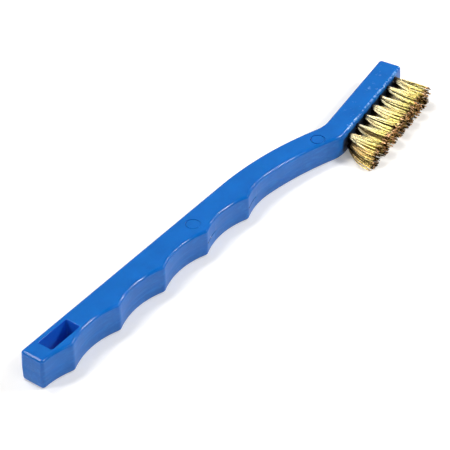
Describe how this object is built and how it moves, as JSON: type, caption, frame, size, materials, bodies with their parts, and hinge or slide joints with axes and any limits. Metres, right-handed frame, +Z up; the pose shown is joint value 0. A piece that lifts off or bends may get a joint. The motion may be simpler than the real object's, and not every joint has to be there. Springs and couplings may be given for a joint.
{
  "type": "brass wire brush",
  "caption": "Toothbrush-style scratch brush: brass wire tufts set in the bent head of a moulded blue plastic handle with finger scallops and a hang slot.",
  "frame": {"origin": "under the middle of the brush's outline, on the surface it lies on", "axes": "+X from the tail of the handle to the toe of the head, +Y out of the straight spine, away from the bristles, +Z up out of the side that faces the viewer"},
  "size_m": [0.1788, 0.0276, 0.0106],
  "materials": {
    "blue_plastic": "satin moulded",
    "brass_wire": "drawn wire",
    "steel_wire": "flat wire"
  },
  "bodies": {
    "root": {"handle": "blue_plastic", "tuft_low_1": "brass_wire", "tuft_low_2": "brass_wire", "tuft_low_3": "brass_wire", "tuft_low_4": "brass_wire", "tuft_low_5": "brass_wire", "tuft_low_6": "brass_wire", "tuft_low_7": "brass_wire", "tuft_mid_1": "brass_wire", "tuft_mid_2": "brass_wire", "tuft_mid_3": "brass_wire", "tuft_mid_4": "brass_wire", "tuft_mid_5": "brass_wire", "tuft_mid_6": "brass_wire", "tuft_mid_7": "brass_wire", "tuft_top_1": "brass_wire", "tuft_top_2": "brass_wire", "tuft_top_3": "brass_wire", "tuft_top_4": "brass_wire", "tuft_top_5": "brass_wire", "tuft_top_6": "brass_wire", "tuft_top_7": "brass_wire", "anchor_low_1": "steel_wire", "anchor_low_2": "steel_wire", "anchor_low_3": "steel_wire", "anchor_low_4": "steel_wire", "anchor_low_5": "steel_wire", "anchor_low_6": "steel_wire", "anchor_low_7": "steel_wire", "anchor_mid_1": "steel_wire", "anchor_mid_2": "steel_wire", "anchor_mid_3": "steel_wire", "anchor_mid_4": "steel_wire", "anchor_mid_5": "steel_wire", "anchor_mid_6": "steel_wire", "anchor_mid_7": "steel_wire", "anchor_top_1": "steel_wire", "anchor_top_2": "steel_wire", "anchor_top_3": "steel_wire", "anchor_top_4": "steel_wire", "anchor_top_5": "steel_wire", "anchor_top_6": "steel_wire", "anchor_top_7": "steel_wire"}
  },
  "joints": []
}
